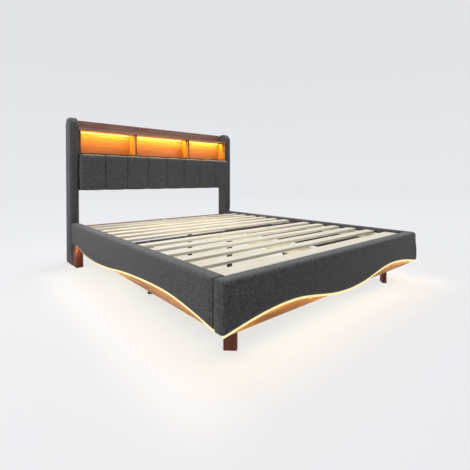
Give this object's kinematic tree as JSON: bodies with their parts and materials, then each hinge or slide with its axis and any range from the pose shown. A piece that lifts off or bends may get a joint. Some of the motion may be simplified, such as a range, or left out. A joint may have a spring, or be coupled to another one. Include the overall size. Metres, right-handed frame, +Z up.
{
  "type": "upholstered storage bed",
  "caption": "Upholstered platform bed with wave-shaped lit lower edge, slatted deck, channel-sewn back cushion and lit bookcase headboard.",
  "frame": {"origin": "on the floor at the centre of the bed's footprint", "axes": "+X to the right seen from the foot of the bed, +Y from the foot towards the headboard, +Z up"},
  "size_m": [1.665, 2.284, 1.25],
  "materials": {
    "fabric": "charcoal linen-look weave",
    "walnut": "satin walnut veneer",
    "stained_walnut": "dark stained solid wood",
    "pine": "planed, unfinished",
    "plywood": "raw poplar plywood",
    "black_steel": "fine-textured black powder coat",
    "black_nylon": "moulded black",
    "light_diffuser": "frosted warm-white diffuser, lit"
  },
  "bodies": {
    "bed_frame": {"bay_ceiling_board": "walnut", "bay_floor_board": "walnut", "bay_left_divider": "walnut", "bay_left_end_panel": "walnut", "bay_left_light": "light_diffuser", "bay_middle_light": "light_diffuser", "bay_right_divider": "walnut", "bay_right_end_panel": "walnut", "bay_right_light": "light_diffuser", "centre_beam": "pine", "cushion_backing_board": "plywood", "deck_cross_bar": "black_steel", "foot_inner_board": "walnut", "foot_left_corner_brace": "plywood", "foot_left_leg": "stained_walnut", "foot_right_corner_brace": "plywood", "foot_right_leg": "stained_walnut", "foot_support_leg": "black_steel", "footboard": "fabric", "footboard_light": "light_diffuser", "head_cross_rail": "walnut", "head_left_bracket": "black_steel", "head_left_leg": "stained_walnut", "head_right_bracket": "black_steel", "head_right_leg": "stained_walnut", "head_support_leg": "black_steel", "headboard_back_panel": "walnut", "headboard_cushion": "fabric", "headboard_left_wing": "fabric", "headboard_right_wing": "fabric", "left_inner_board": "walnut", "left_rail_light": "light_diffuser", "left_side_rail": "fabric", "left_slat_ledger": "pine", "left_support_leg": "black_steel", "light_driver_box": "black_nylon", "middle_support_leg": "black_steel", "right_inner_board": "walnut", "right_rail_light": "light_diffuser", "right_side_rail": "fabric", "right_slat_ledger": "pine", "right_support_leg": "black_steel", "slat_01": "pine", "slat_02": "pine", "slat_03": "pine", "slat_04": "pine", "slat_05": "pine", "slat_06": "pine", "slat_07": "pine", "slat_08": "pine", "slat_09": "pine", "slat_10": "pine", "slat_11": "pine", "slat_12": "pine"},
    "foot_foot_body": {"foot_levelling_foot": "black_nylon"},
    "middle_foot_body": {"middle_levelling_foot": "black_nylon"},
    "head_foot_body": {"head_levelling_foot": "black_nylon"},
    "left_foot_body": {"left_levelling_foot": "black_nylon"},
    "right_foot_body": {"right_levelling_foot": "black_nylon"}
  },
  "joints": [
    {"name": "foot_foot_screw", "type": "slide", "parent": "bed_frame", "child": "foot_foot_body", "axis": [0, 0, -1], "range_m": [-0.008, 0.012]},
    {"name": "middle_foot_screw", "type": "slide", "parent": "bed_frame", "child": "middle_foot_body", "axis": [0, 0, -1], "range_m": [-0.008, 0.012]},
    {"name": "head_foot_screw", "type": "slide", "parent": "bed_frame", "child": "head_foot_body", "axis": [0, 0, -1], "range_m": [-0.008, 0.012]},
    {"name": "left_foot_screw", "type": "slide", "parent": "bed_frame", "child": "left_foot_body", "axis": [0, 0, -1], "range_m": [-0.008, 0.012]},
    {"name": "right_foot_screw", "type": "slide", "parent": "bed_frame", "child": "right_foot_body", "axis": [0, 0, -1], "range_m": [-0.008, 0.012]}
  ]
}
